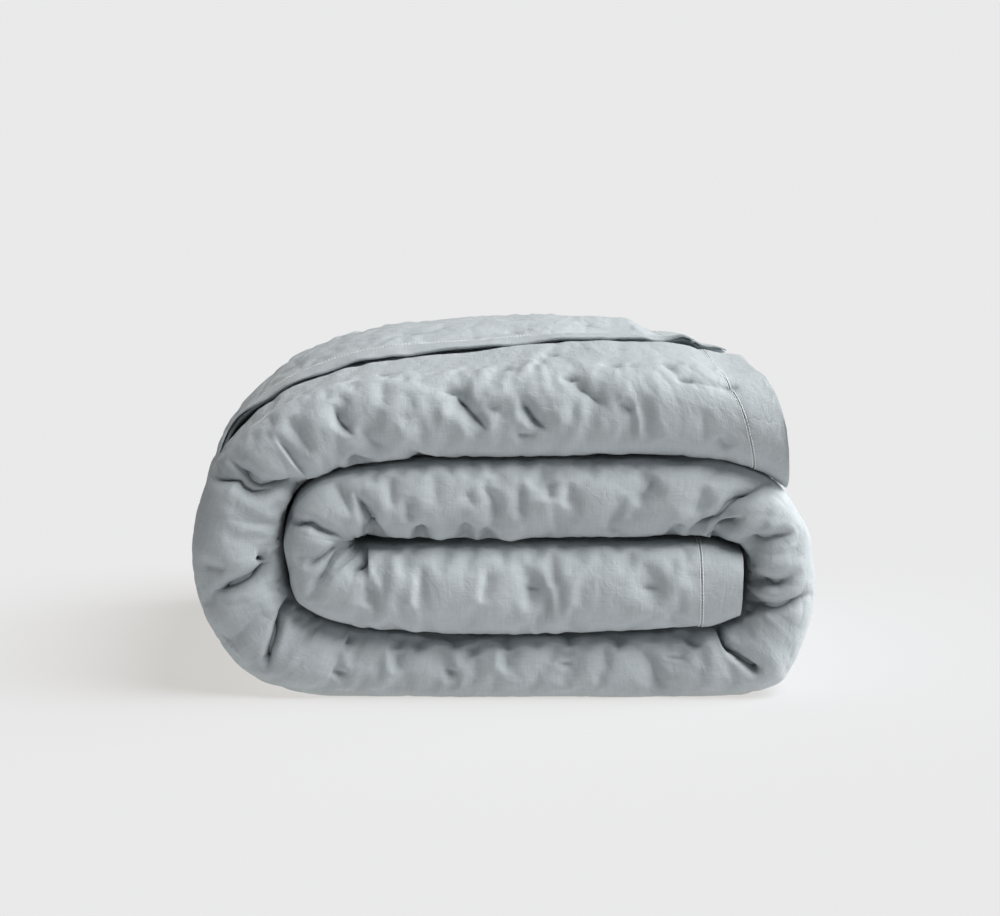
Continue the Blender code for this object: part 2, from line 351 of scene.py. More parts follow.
def placeOnCoil(run, y, height, half, isOuterThird):
    # A height in the cut becomes a share of the way from the coil's inner face to its outer one. Near the
    # outer end the run is moved on by skew * depth + lag + trim + bulge * (height / half)^2.
    p = quiltPlan
    lean = 1.0 - ease(run / p["skewRun"])
    bulge = p["endTrim"] + p["endBulge"] * np.clip(height / half, 0.0, 1.0) ** 2
    moved = run + (p["endSkew"] * y + p["endLag"] * isOuterThird + bulge) * lean
    height = height + crownAt(run, y) * (height + half) / (2.0 * half)
    share = 0.5 + height / (2.0 * (half + p["wrapGap"]))
    x = mix(cutAt(moved, 0), cutAt(moved, 2), share)
    z = mix(cutAt(moved, 1), cutAt(moved, 3), share)
    return np.stack([x, y + cutAt(moved, 4) - p["depth"] / 2.0, z], axis=-1)


# Flat hem of the outer third where it stands off the cloth below: run, half width, lift.
flangeLifts = [
    (8, 16, 5),
    (48, 16, 7),
    (98, 12, 2),
    (200, 34, 2.5),
    (305, 36, 4.5),
    (368, 12, 2),
    (400, 14, 2.5),
    (455, 20, 3),
    (497, 20, 9),
]

cameraTilt = 10.0  # degrees that the camera looks down by

# Main creases of each band, as x and the height seen from the camera's tilt, in mm: width, depth (below 0
# it is a ridge), then the points.
creases = {
    "top": [
        (5, 4.5, (-155, 279), (-150, 264), (-142, 255), (-135, 248)),
        (6, -2, (-139, 258), (-129, 245)),
        (7, 3, (-198, 264), (-183, 245), (-172, 227)),
        (6, 3.5, (-215, 243), (-208, 230), (-200, 223), (-176, 210)),
        (8, 3, (-135, 260), (-120, 243), (-99, 234)),
        (6, 4.8, (-45, 290), (-37, 281), (-26, 266), (-13, 253)),
        (8, -2.5, (-60, 277), (-36, 253)),
        (6, 3, (-17, 279), (-4, 268)),
        (8, -2.5, (-97, 264), (-84, 241)),
        (5, 4, (-82, 236), (-73, 228), (-64, 227)),
        (5, 3, (-138, 232), (-132, 221)),
        (5, 5, (18, 285), (25, 268), (40, 253)),
        (6, -2, (7, 266), (33, 253)),
        (8, -2.5, (48, 277), (57, 253)),
        (7, 2.5, (-12, 279), (7, 260)),
        (7, 4, (63, 300), (81, 285), (96, 273)),
        (3.5, -3, (119, 286), (124, 268), (127, 241)),
        (6, 2.5, (113, 283), (119, 262), (121, 241)),
        (7, 2.5, (129, 286), (133, 266), (136, 241)),
        (6, 3, (108, 279), (119, 268)),
        (8, 2, (183, 275), (186, 238)),
        (6, 3, (197, 249), (209, 234)),
        (6, 5, (-132, 217), (-130, 228)),
        (7, 4, (-80, 222), (-66, 230)),
        (6, 5, (86, 222), (88, 232)),
        (5, 3, (102, 317), (152, 316), (162, 300)),
        (5, 2, (168, 300), (209, 293)),
    ],
    "left": [
        (6, 6, (-253, 228), (-235, 213), (-222, 202), (-199, 201), (-186, 202)),
        (6, 5, (-270, 210), (-246, 208), (-237, 197), (-226, 194), (-204, 197)),
        (5, 7, (-270, 101), (-249, 108), (-232, 115), (-218, 124), (-209, 135)),
        (5, 6, (-226, 134), (-213, 135)),
        (2.6, 6.6, (-194, 106), (-209, 66), (-227, 19)),
        (8, 3, (-256, 51), (-232, 75), (-213, 94)),
        (7, 3, (-279, 129), (-254, 122)),
    ],
    "core": [
        (4, 5, (-199, 177), (-186, 168), (-176, 168), (-168, 162), (-151, 156), (-140, 150)),
        (4, 4.5, (-185, 125), (-168, 134), (-156, 141), (-140, 148)),
        (4, 4.5, (-182, 99), (-167, 115), (-156, 131), (-140, 147)),
        (7, 5, (-139, 117), (-135, 125), (-119, 139), (-112, 147)),
        (6, 2.5, (-194, 135), (-168, 135)),
    ],
    "second": [
        (6, 3, (-156, 207), (-148, 193), (-139, 173)),
        (5, 6, (-135, 195), (-123, 175), (-114, 154)),
        (4, 2.5, (-103, 211), (-102, 185)),
        (5, 3, (-84, 193), (-86, 168)),
        (6, 3, (-35, 198), (-25, 181)),
        (6, 3, (-19, 203), (-7, 184), (-7, 169)),
        (6, 3.5, (17, 205), (17, 171)),
        (6, 3, (42, 206), (44, 187)),
        (5, 5, (198, 171), (186, 163), (175, 154)),
        (5, 4.5, (170, 166), (156, 155)),
        (7, 4, (142, 213), (132, 198), (124, 182)),
        (7, 3, (187, 204), (182, 188), (177, 173)),
        (8, 2.5, (157, 203), (135, 188), (112, 166)),
        (7, 2.5, (122, 207), (108, 180), (99, 158)),
        (6, 3, (64, 207), (60, 180)),
        (7, 2.5, (200, 191), (183, 181), (166, 171)),
        (4.5, 7, (-124, 149), (-121, 166)),
        (4.5, 7, (-76, 149), (-75, 165)),
        (4.5, 7, (-34, 149), (-33, 166)),
        (4.5, 7, (-14, 149), (-13, 163)),
        (9, -3, (-116, 158), (-116, 150)),
        (8, -3, (-22, 158), (-22, 150)),
        (12, -3.5, (9, 160), (9, 149)),
        (11, -3, (102, 160), (102, 150)),
        (10, -2.5, (-55, 160), (-55, 151)),
    ],
    "third": [
        (6, -3, (-79, 133), (-84, 85)),
        (6, 3, (-72, 131), (-78, 87)),
        (6, -3, (-19, 125), (-25, 91)),
        (6, 3, (-12, 124), (-19, 93)),
        (7, 3, (29, 129), (23, 87)),
        (7, 3, (-119, 111), (-126, 89)),
        (6, 3, (-91, 99), (-102, 83)),
    ],
    "right": [
        (6, 6, (242, 204), (227, 198), (212, 187), (197, 168), (179, 154)),
        (4.5, 6.5, (224, 173), (208, 162), (191, 152)),
        (7, 3, (224, 145), (238, 153), (250, 154)),
        (6, 5, (222, 147), (250, 153), (271, 160)),
        (4.5, 5.5, (224, 119), (239, 114), (254, 111), (269, 118)),
        (5, 6, (223, 98), (239, 90), (255, 89), (273, 94), (288, 100)),
        (2.8, 7, (189, 76), (216, 47), (235, 32), (256, 19)),
    ],
    "bottom": [
        (8, -3, (-174, 56), (-174, 35)),
        (7, -3, (-146, 50), (-146, 28)),
        (7, -3.5, (-106, 53), (-106, 25)),
        (6, 3, (-98, 51), (-98, 28)),
        (8, -3, (-43, 50), (-43, 25)),
        (7, -3.5, (-3, 53), (-3, 25)),
        (6, 3, (5, 51), (5, 28)),
        (8, -3, (56, 47), (56, 25)),
        (7, -3, (159, 50), (159, 35)),
        (8, 3.5, (110, 63), (135, 44), (147, 12)),
        (7, 4, (168, 67), (187, 53)),
        (6, 3, (-153, 70), (-151, 57)),
        (6, 3, (-96, 63), (-95, 50)),
        (6, 3, (-78, 62), (-76, 49)),
        (6, 3, (-45, 63), (-43, 50)),
        (6, 3, (-28, 55), (-26, 42)),
        (6, 3, (4, 61), (6, 48)),
        (6, 3, (63, 66), (65, 52)),
        (6, 3, (108, 65), (110, 51)),
    ],
}

# Tack stitches in front, in the same terms: band, x, height, radius and depth of the dimple.
frontTacks = [
    ("bottom", -153, 28, 14, 6),
    ("bottom", -48, 28, 14, 6),
    ("bottom", 58, 35, 14, 6),
    ("bottom", 161, 42, 14, 6),
    ("third", 27, 105, 14, 6),
    ("third", 136, 107, 13, 5),
    ("top", -109, 307, 13, 4),
    ("top", -45, 290, 15, 7),
    ("top", -1, 314, 14, 5),
    ("top", 63, 303, 15, 7),
    ("top", 102, 317, 14, 6),
    ("top", 168, 300, 13, 5),
    ("top", 22, 248, 8, 3),
    ("top", 46, 327, 12, 3),
    ("top", 209, 293, 9, 3),
]

# The stretch of the coil that each band covers, from and to, in mm of run.
bandRuns = {
    "top": (0, 470), "left": (400, 800), "bottom": (740, 1150), "right": (1110, 1370),
    "second": (1320, 1690), "core": (1630, 1790), "third": (1740, 2140),
}

# The other tacks, on a lattice over the outer third and the back fold.
tackPlan = {
    "spacing": 106.0,
    "shift": (0.35, 0.86),  # where the lattice begins, along the coil and across the sheet, in spacings
    "from": 60.0,          # none lies nearer to the free edge than this
    "radius": 13.0,
    "depth": 4.0,
    "slitHalf": 0.03,      # half the length of the slit at the bottom, in spacings
    "slitDepth": 1.8,
    "frontHalf": 5.0,      # the same for the tacks in front, in mm
    "frontDepth": 2.2,
    "slitWidth": 2.4,
}

wrinklePlan = {
    "swell": 2.0,          # slow unevenness of the filling
    "fold": 1.9,           # depth of the small folds
    "pleat": 1.8,          # soft pleats across the strip, side by side
    "radial": 2.6,         # folds that gather the inner side of the tight turns
    "pucker": 2.6,         # puckers that run in from the grooves between turns
    "hemPucker": 1.6,      # and from the hem stitching
    "strength": 0.75,      # share of all of these that is used
    "hemGroove": 1.6,
    "creaseSharpen": 0.19, # a crease of depth d is made d (1 + 0.19 d) deep, since the filling springs up
    "slotFrom": 6.5,       # one that is then deeper than this is cut in further
    "slotShare": 1.2,      # by this share of the rest
    "slotWidth": 1.8,
}


def patchNoise(u, v, sizeU, sizeV, seed):
    # Smooth random field from -1 to 1: seeded values on a lattice, blended by eased steps.
    values = np.random.default_rng(seed).uniform(-1.0, 1.0, (128, 128))
    a = u / sizeU + 500.0
    b = v / sizeV + 500.0
    i = np.floor(a).astype(int)
    j = np.floor(b).astype(int)
    shareA = ease(a - i)
    shareB = ease(b - j)
    near = mix(values[i % 128, j % 128], values[(i + 1) % 128, j % 128], shareA)
    far = mix(values[i % 128, (j + 1) % 128], values[(i + 1) % 128, (j + 1) % 128], shareA)
    return mix(near, far, shareB)


def foldLines(u, v, sizeU, sizeV, seed, sharp=0.16):
    # Thin winding valleys, 1 at their bottom: e to the minus |noise| / sharp, on a bent lattice.
    bendU = u + 0.45 * sizeU * patchNoise(u, v, 1.7 * sizeU, 1.2 * sizeV, seed + 1)
    bendV = v + 0.45 * sizeV * patchNoise(u, v, 1.7 * sizeU, 1.2 * sizeV, seed + 2)
    return np.exp(-np.abs(patchNoise(bendU, bendV, sizeU, sizeV, seed)) / sharp)


def outwardNormals(points):
    # Cross product of the grid's two directions, across the sheet and along the run.
    return unitVectors(np.cross(np.gradient(points, axis=1), np.gradient(points, axis=0)))


def arcAcross(points):
    # Distance across the sheet from the outer third's free edge, at each station.
    step = np.linalg.norm(np.diff(points, axis=1), axis=-1)
    return np.concatenate([np.zeros((len(points), 1)), np.cumsum(step, axis=1)], axis=1)


def depthOf(points):
    # How far each point lies behind the foremost one.
    return points[..., 1] - points[..., 1].min()


def outerTurn(runs):
    # 1 on the coil's outermost turn, whose outer side is free, and 0 further in
    return falling(runs[:, None], *quiltPlan["outerTurn"])


def fromEnds(runs):
    # Distance to the nearer end of the cloth.
    return np.minimum(runs, coilLength - runs)


def softCurve(points, spacing):
    # Rounded line through a few points, sampled at an even spacing.
    points = np.array(points, float)
    reach = travelAlong(points)
    at = np.linspace(0.0, reach[-1], max(3, int(reach[-1] / spacing) + 1))
    if len(points) == 2:
        return np.stack([np.interp(at, reach, column) for column in points.T], axis=1)
    return np.stack([steadyCurve(reach, column, at) for column in points.T], axis=1)


class Front:
    # The front of each band, flattened, so that a place seen from the camera's tilt finds its point.

    def __init__(self, side, runs):
        rise = math.radians(cameraTilt)
        deep = depthOf(side["points"])
        self.flat = side["points"].reshape(-1, 3)
        self.seen = np.stack([side["points"][..., 0],
                              side["points"][..., 2] * math.cos(rise) + deep * math.sin(rise)], axis=-1)
        self.seen = self.seen.reshape(-1, 2)
        names = side["names"][None, :]
        shown = (names == "nose") | ((names == "b2") & (deep < quiltPlan["shownFront"]))
        shown |= (names == "a1") & (deep < quiltPlan["shownMouth"])
        self.bands = {band: np.flatnonzero(shown & (runs[:, None] >= start) & (runs[:, None] <= end))
                      for band, (start, end) in bandRuns.items()}

    def find(self, band, places):
        # The points of the band nearest to the places, then smoothed along the line.
        index = self.bands[band]
        seen = self.seen[index]
        found = np.array([self.flat[index[np.argmin(((seen - place) ** 2).sum(axis=1))]] for place in places])
        for _ in range(2):
            if len(found) > 2:
                found[1:-1] = 0.25 * found[:-2] + 0.5 * found[1:-1] + 0.25 * found[2:]
        return found

    def near(self, band, line, reach):
        # Indices of the band's points within reach of the line's box.
        index = self.bands[band]
        points = self.flat[index]
        inside = (points > line.min(axis=0) - reach) & (points < line.max(axis=0) + reach)
        return index[np.all(inside, axis=1)]


def lineDistance(points, line):
    # Distance from each point to a chain of short lines, and how far along it the nearest place is.
    best = np.full(len(points), 1e9)
    along = np.zeros(len(points))
    reach = 0.0
    for a, b in zip(line, line[1:]):
        step = b - a
        size = max(np.linalg.norm(step), 1e-6)
        share = np.clip(((points - a) @ step) / size**2, 0.0, 1.0)
        distance = np.linalg.norm(points - a - share[:, None] * step, axis=1)
        closer = distance < best
        best = np.where(closer, distance, best)
        along = np.where(closer, reach + share * size, along)
        reach += size
    return best, along, reach


def creaseField(front, shape):
    # A crease is a sharp valley inside a broad one: depth * (0.45 e^-(d / 0.6 w) + 0.55 e^-(d / 1.5 w)^2)
    # for distance d and width w, and a ridge is depth * e^-(d / w)^1.7. Both fade out at their ends. A
    # deep crease has a slot as well, e^-(d / slotWidth)^2.
    w = wrinklePlan
    field = np.zeros(shape).ravel()
    for band, rows in creases.items():
        for width, depth, *places in rows:
            line = front.find(band, softCurve(places, 3.0))
            index = front.near(band, line, 4.5 * width)
            distance, along, size = lineDistance(front.flat[index], line)
            fade = ease(along / (0.4 * size) + 0.15) * ease((size - along) / (0.4 * size) + 0.15)
            if depth < 0:
                field[index] -= depth * fade * np.exp(-(distance / width) ** 1.7)
                continue
            depth = depth * (1.0 + w["creaseSharpen"] * depth)
            valley = 0.45 * np.exp(-distance / (0.6 * width))
            valley = valley + 0.55 * np.exp(-(distance / (1.5 * width)) ** 2)
            slot = w["slotShare"] * max(depth - w["slotFrom"], 0.0)
            field[index] -= fade * (depth * valley + slot * np.exp(-(distance / w["slotWidth"]) ** 2))
    return field.reshape(shape)


def tackField(front, side, runs, arc):
    # A tack is a dimple, depth * e^-(1.3 d / radius)^1.1 in front and depth * e^-(d / radius)^1.3 on the
    # lattice, with a short slit across its bottom.
    t = tackPlan
    field = np.zeros(arc.size)
    side["tacks"] = []
    for band, x, height, radius, depth in frontTacks:
        slit = front.find(band, [(x + offset, height) for offset in (-t["frontHalf"], 0.0, t["frontHalf"])])
        index = front.near(band, slit, 3.5 * radius)
        distance = np.linalg.norm(front.flat[index] - slit[1], axis=1)
        fromSlit = lineDistance(front.flat[index], slit)[0]
        field[index] -= depth * np.exp(-((distance / radius) * 1.3) ** 1.1)
        field[index] -= t["frontDepth"] * np.exp(-(fromSlit / t["slitWidth"]) ** 2)
        side["tacks"].append(index[np.argmin(distance)])
    acrossRun = runs[:, None] / t["spacing"] - t["shift"][0]
    acrossArc = arc / t["spacing"] - t["shift"][1]
    offRun = acrossRun - np.round(acrossRun)
    offArc = acrossArc - np.round(acrossArc)
    distance = t["spacing"] * np.hypot(offRun, offArc)
    fromSlit = t["spacing"] * np.hypot(np.maximum(np.abs(offRun) - t["slitHalf"], 0.0), offArc)
    dimple = t["depth"] * np.exp(-(distance / t["radius"]) ** 1.3)
    dimple = dimple + t["slitDepth"] * np.exp(-(fromSlit / t["slitWidth"]) ** 2)
    onBack = np.isin(side["names"], ["c2", "backFold"])[None, :] & (arc > t["from"])
    return field.reshape(arc.shape) - np.where(onBack, dimple, 0.0)


def wrinkleField(side, runs, arc, half):
    # Everything that no table places: slow swells, small folds, pleats, and puckers at grooves and hems.
    # Each is a noise or fold lines of its own size, in mm along the coil and across the sheet.
    w = wrinklePlan
    names = side["names"][None, :]
    run = runs[:, None] + 0.0 * arc
    noseColumns = np.flatnonzero(side["names"] == "nose")
    v = arc - arc[:, [noseColumns[len(noseColumns) // 2]]]
    turning = turnAmount(runs)[:, None]
    angle = noseAngle(side["names"])[None, :]

    swell = patchNoise(run, v, 95.0, 80.0, 11) + 0.6 * patchNoise(run, v, 42.0, 50.0, 12)
    small = foldLines(run, v, 42.0, 80.0, 21) + 0.6 * foldLines(run + 0.35 * v, v, 27.0, 50.0, 24)
    fine = foldLines(run, v, 17.0, 60.0, 31, 0.25)
    field = w["swell"] * swell - w["fold"] * small * mix(0.45, 1.0, turning)
    # soft winding pleats across the strip: noise that is short along the coil and long across it, in patches
    patch = ease(0.5 + 0.9 * patchNoise(run, v, 70.0, 60.0, 14))
    windRun = run + 4.0 * patchNoise(run, v, 31.0, 27.0, 17)
    windV = v + 12.0 * patchNoise(run, v, 16.0, 60.0, 18)
    pleat = patchNoise(windRun + 0.3 * v, windV, 12.0, 75.0, 15)
    pleat = pleat + 0.5 * patchNoise(windRun - 0.2 * v, windV, 8.0, 40.0, 16)
    field = field + w["pleat"] * pleat * patch * np.where(names == "c2", 0.35, 1.0)
    # round the tight turns the inner side gathers into radial folds
    radial = foldLines(run, v, 20.0, 130.0, 41, 0.2)
    field = field - w["radial"] * radial * turning * mix(1.0, 0.35, rising(angle, -90.0, 60.0))
    # puckers running in from the grooves on both sides of the front fold
    inFrom = (90.0 - np.abs(angle)) / 90.0 * half[:, None] * 1.4
    groove = np.exp(-inFrom / 13.0) * (names == "nose")
    pucker = 0.5 * fine + 0.9 * foldLines(run, v, 30.0, 200.0, 51, 0.22) - 0.25
    field = field - w["pucker"] * groove * pucker
    # puckers behind the hem stitching at both ends and along the outer third's edge
    fromEnd = fromEnds(runs)[:, None] - quiltPlan["hem"]
    fromEdge = arc - quiltPlan["hem"]
    onEdge = (names == "c2") & (arc < 95.0)
    endPucker = (foldLines(v, run, 15.0, 90.0, 61, 0.3) - 0.4) * np.exp(-np.abs(fromEnd - 3.0) / 14.0)
    edgePucker = (foldLines(run, arc, 16.0, 90.0, 62, 0.3) - 0.4) * np.exp(-np.abs(fromEdge - 3.0) / 14.0)
    field = field - w["hemPucker"] * (endPucker * (fromEnd > -12.0) + 0.8 * edgePucker * onEdge)
    # the flat hems only ripple
    inHem = np.where(names == "c2", falling(fromEdge, -6.0, 8.0), 0.0)
    inHem = np.maximum(inHem, falling(fromEnd, -6.0, 8.0))
    ripple = 0.7 * patchNoise(run, v, 24.0, 30.0, 71) + 0.35 * patchNoise(run, v, 9.0, 12.0, 72)
    return mix(field, ripple, 0.8 * inHem)


def turnAmount(runs):
    # 0 on a straight, 1 where the coil turns tightly
    step = 6.0
    def heading(at):
        return np.unwrap(np.arctan2(cutAt(at, 3) - cutAt(at, 1), cutAt(at, 2) - cutAt(at, 0)))
    turn = np.abs(heading(runs + step) - heading(runs - step)) / (2.0 * step)
    smoothed = np.convolve(np.pad(turn, 12, mode="edge"), np.ones(25) / 25.0, mode="valid")
    return ease(smoothed / 0.012)


def noseAngle(names):
    # -90 on the coil's inner side of the front fold, 90 on its outer side
    nose = np.flatnonzero(names == "nose")
    return np.interp(np.arange(len(names)), [nose[0], nose[-1]], [-90.0, 90.0])


def hemGroove(side, runs, arc):
    # The cloth is pulled in between the two rows of a hem's stitching: depth * e^-(distance / width)^2.
    hem = quiltPlan["hem"]
    groove = np.exp(-((arc - hem) / 2.2) ** 2) * (side["names"][None, :] == "c2")
    for place in (hem, runs[-1] - hem):
        groove += np.exp(-((runs[:, None] - place) / 1.3) ** 2)
    return -wrinklePlan["hemGroove"] * groove


def shownField(side, runs, points):
    # 1 where the surface can be seen and is free to move, 0 deep between the layers.
    p = quiltPlan
    names = side["names"][None, :]
    deep = depthOf(points)
    free = outerTurn(runs)
    inMouth = falling(deep, p["shownMouth"] - 26.0, p["shownMouth"])
    onFront = np.maximum(free, inMouth) * falling(deep, p["shownFront"] - 8.0, p["shownFront"] + 8.0)
    shown = {"nose": 1.0, "backFold": 1.0, "halfFold": 0.7, "b2": onFront, "c2": free, "a1": inMouth}
    return sum(np.where(names == name, amount, 0.0) for name, amount in shown.items())


def outwardRoom(side, runs):
    # How much a ridge may stand out: nothing where the next turn touches.
    names = side["names"][None, :]
    angle = noseAngle(side["names"])[None, :]
    free = outerTurn(runs)
    onNose = rising(angle, -90.0, -55.0) * np.maximum(free, falling(angle, 55.0, 90.0))
    room = {"nose": onNose, "b2": free, "c2": free, "backFold": 0.8}
    return sum(np.where(names == name, amount, 0.0) for name, amount in room.items())


def liftFlange(side, runs):
    # Raises the outer third's hem off the cloth below, most at its free edge, and makes that edge wave.
    lift = sum(height * np.exp(-((runs - run) / wide) ** 2) for run, wide, height in flangeLifts)
    lift = lift + 1.2 * patchNoise(runs, 0.0 * runs, 30.0, 30.0, 81) * (runs < 1250.0)
    lift = np.maximum(lift, 0.0) * falling(runs, 700.0, 780.0)
    wave = 1.6 * patchNoise(runs, 0.0 * runs, 38.0, 30.0, 82)
    wave = wave + 0.7 * patchNoise(runs, 0.0 * runs, 13.0, 30.0, 83)
    points = side["points"]
    near = falling(depthOf(points) - quiltPlan["setBack"], 0.0, 52.0)
    near = np.where(np.isin(side["names"], ["c2", "c1"])[None, :], near, 0.0)
    out = np.stack([cutAt(runs, 2) - cutAt(runs, 0), 0.0 * runs, cutAt(runs, 3) - cutAt(runs, 1)], axis=1)
    points += near[..., None] * (lift[:, None] * unitVectors(out))[:, None, :]
    points[..., 1] += near * wave[:, None]


def buildQuilt():
    # Sections of the folded sheet, carried along the coil, then lifted, wrinkled and pressed flat below.
    p = quiltPlan
    runs = stationRuns()
    thick = np.hypot(cutAt(runs, 2) - cutAt(runs, 0), cutAt(runs, 3) - cutAt(runs, 1))
    half = thick / 2.0 - p["wrapGap"]
    edge = fromEnds(runs)
    fill = rising(edge, p["hem"], p["hem"] + p["hemFill"])
    roundEnd = np.sqrt(1.0 - (1.0 - np.clip(edge / p["roundRun"], 0.05, 1.0)) ** 2)
    face, back = sectionFaces((half[:, None], fill[:, None], roundEnd[:, None]))
    middle = (np.array(cadBox[0]) + np.array(cadBox[1])) / 2.0 / mm
    for side in (face, back):
        outer = np.isin(side["names"], ["c2", "c1"]).astype(float)
        onFold = side["names"] == "backFold"
        outer[onFold] = np.linspace(1.0, 0.0, onFold.sum())
        side["points"] = placeOnCoil(runs[:, None] + 0.0 * side["y"], side["y"], side["height"],
                                     half[:, None], outer[None, :])
        side["points"] += np.array(p["stand"]) + [middle[0], middle[1], 0.0]
        liftFlange(side, runs)
    smooth = face["points"]
    wrinkle(face, runs, half)
    followFace(face, back, face["points"] - smooth, runs)
    for side in (face, back):
        side["points"][..., 2] = np.maximum(side["points"][..., 2], 0.0)
    return runs, face, back


springPlan = {
    "spacing": 4.6,        # mm between the points of the simulated cloth
    "unit": 0.01,          # it is simulated ten times life size, which suits the solver
    "growth": 0.04,        # the linen is cut this much larger than the shape it covers
    "mass": 0.3,
    "tension": 15.0,
    "shear": 5.0,
    "bending": 0.14,
    "airDamping": 2.0,
    "pressure": 0.15,
    "frames": 16,
    "quality": 3,
    "cap": 9.0,            # the furthest a point may move, mm
    "steady": 0.85,        # how much of the broad swelling is taken back, so that only its folds stay
    "broad": 60,           # rounds of softening that leave the broad swelling
    "fine": 3,             # and that take the coarse copy's corners off
}


def sparsePlaces(travel, spacing):
    # Every index that lies a spacing or more past the last one kept, and both ends.
    kept = [0]
    for i in range(1, len(travel) - 1):
        if travel[i] - travel[kept[-1]] >= spacing:
            kept.append(i)
    return np.array(kept + [len(travel) - 1])


def soften(grid, times):
    # Weights 1, 2, 1 over neighbours both ways, again and again.
    for _ in range(times):
        for axis in (0, 1):
            edge = [(1, 1) if i == axis else (0, 0) for i in range(3)]
            wide = np.pad(grid, edge, mode="edge")
            count = grid.shape[axis]
            before, here, after = (np.take(wide, np.arange(count) + i, axis) for i in range(3))
            grid = (before + 2.0 * here + after) / 4.0
    return grid


def spreadGrid(grid, at, axis):
    # Values between a grid's rows (axis 0) or columns (axis 1), at places counted in rows or columns.
    low = np.clip(np.floor(at).astype(int), 0, grid.shape[axis] - 2)
    share = (at - low).reshape((-1, 1, 1) if axis == 0 else (1, -1, 1))
    return mix(np.take(grid, low, axis), np.take(grid, low + 1, axis), share)


def runCloth(coarse, held):
    # The moves that the padding's push and the spare linen give a grid of points, in mm.
    p = springPlan
    thing = fillMesh("springCloth", coarse.reshape(-1, 3) * p["unit"], gridFaces(*coarse.shape[:2], 0))
    pins = thing.vertex_groups.new(name="held")
    levels = np.round(held.ravel(), 1)
    for level in np.unique(levels[levels > 0.0]):
        pins.add(np.flatnonzero(levels == level).tolist(), float(level), "REPLACE")
    cloth = thing.modifiers.new("cloth", "CLOTH")
    c = cloth.settings
    c.quality = p["quality"]
    c.mass = p["mass"]
    c.tension_stiffness = c.compression_stiffness = p["tension"]
    c.shear_stiffness = p["shear"]
    c.bending_stiffness = p["bending"]
    c.air_damping = p["airDamping"]
    c.use_pressure = True
    c.uniform_pressure_force = p["pressure"]
    c.shrink_min = c.shrink_max = -p["growth"]
    c.effector_weights.gravity = 0.0
    c.vertex_group_mass = "held"
    cloth.collision_settings.use_collision = False
    cloth.collision_settings.use_self_collision = False
    scene = bpy.context.scene
    scene.frame_start = cloth.point_cache.frame_start = 1
    scene.frame_end = cloth.point_cache.frame_end = p["frames"]
    for frameNumber in range(1, p["frames"] + 1):
        scene.frame_set(frameNumber)
    evaluated = thing.evaluated_get(bpy.context.evaluated_depsgraph_get())
    moved = np.empty(coarse.size, np.float32)
    evaluated.data.vertices.foreach_get("co", moved)
    scene.frame_set(1)
    bpy.data.objects.remove(thing)
    return moved.reshape(coarse.shape) / p["unit"] - coarse


def springUp(face, runs, held):
    # Cloth simulation on a coarse copy of the face cloth, whose small smooth moves are spread over the
    # fine cloth. held is 1 where the cloth can't move.
    p = springPlan
    points = face["points"]
    rows = sparsePlaces(runs, p["spacing"])
    columns = sparsePlaces(travelAlong(points[len(points) // 2]), p["spacing"])
    pick = np.ix_(rows, columns)
    shift = runCloth(points[pick], held[pick])
    shift = (shift - p["steady"] * soften(shift, p["broad"])) * (1.0 - held[pick])[..., None]
    size = np.linalg.norm(shift, axis=-1, keepdims=True)
    shift *= np.minimum(1.0, p["cap"] / np.maximum(size, 1e-6))
    for axis, places in enumerate((rows, columns)):
        at = np.interp(np.arange(points.shape[axis]), places, np.arange(len(places)))
        shift = spreadGrid(shift, at, axis)
    shift = soften(shift, p["fine"])
    print("spring-up moves the cloth by up to, mm:", round(float(np.abs(shift).max()), 1))
    return shift


def heldAmount(face, runs, points):
    # 1 between the layers, in the hems, at the tacks, on the floor and where two turns touch, and 0 on the
    # free front, top and back folds.
    names = face["names"][None, :]
    angle = noseAngle(face["names"])[None, :]
    hem = quiltPlan["hem"] + 3.0
    touching = np.where(names == "nose", rising(np.abs(angle), 62.0, 78.0), 1.0)
    touching = np.where((angle > 0.0) | (names == "c2"), touching * (1.0 - outerTurn(runs)), touching)
    touching = np.where(names == "backFold", 0.0, touching)
    hidden = 1.0 - shownField(face, runs, points)
    hidden = np.where(names == "b2", np.maximum(hidden, rising(depthOf(points), 45.0, 100.0)), hidden)
    hidden = np.where(names == "c2", np.maximum(hidden, 0.5), hidden)
    calm = 0.6 * falling(runs, 290.0, 420.0)[:, None]   # the cloth lies calmer near the outer end
    ends = falling(fromEnds(runs), hem, hem + 14.0)[:, None]
    hems = np.where(names == "c2", falling(face["arc"], hem, hem + 14.0), 0.0)
    onFloor = falling(points[..., 2], 4.0, 12.0)
    held = np.max(np.broadcast_arrays(hidden, touching, calm, ends, hems, onFloor), axis=0)
    held.ravel()[face["tacks"]] = 1.0
    return held


def wrinkle(face, runs, half):
    # Dents the face cloth along its normals, then lets it spring up. dent keeps how far it moved outwards.
    points = face["points"]
    arc = face["arc"] = arcAcross(points)
    front = Front(face, runs)
    out = outwardNormals(points)
    field = wrinkleField(face, runs, arc, half) * wrinklePlan["strength"]
    field = np.where(field > 0.0, field * outwardRoom(face, runs), field)
    field += creaseField(front, arc.shape) + tackField(front, face, runs, arc) + hemGroove(face, runs, arc)
    field *= shownField(face, runs, points)
    face["dent"] = field
    face["points"] = points + out * field[..., None]
    shift = springUp(face, runs, heldAmount(face, runs, points))
    face["dent"] = field + (shift * out).sum(axis=-1)
    face["points"] = face["points"] + shift


def followFace(face, back, moves, runs):
    # In the unfilled border the two cloths move as one: the backing takes the face cloth's moves.
    hem = quiltPlan["hem"]
    thin = falling(fromEnds(runs), hem, hem + 40.0)
    at = np.interp(back["place"], face["place"], np.arange(len(face["place"])))
    back["points"] = back["points"] + thin[:, None, None] * spreadGrid(moves, at, 1)


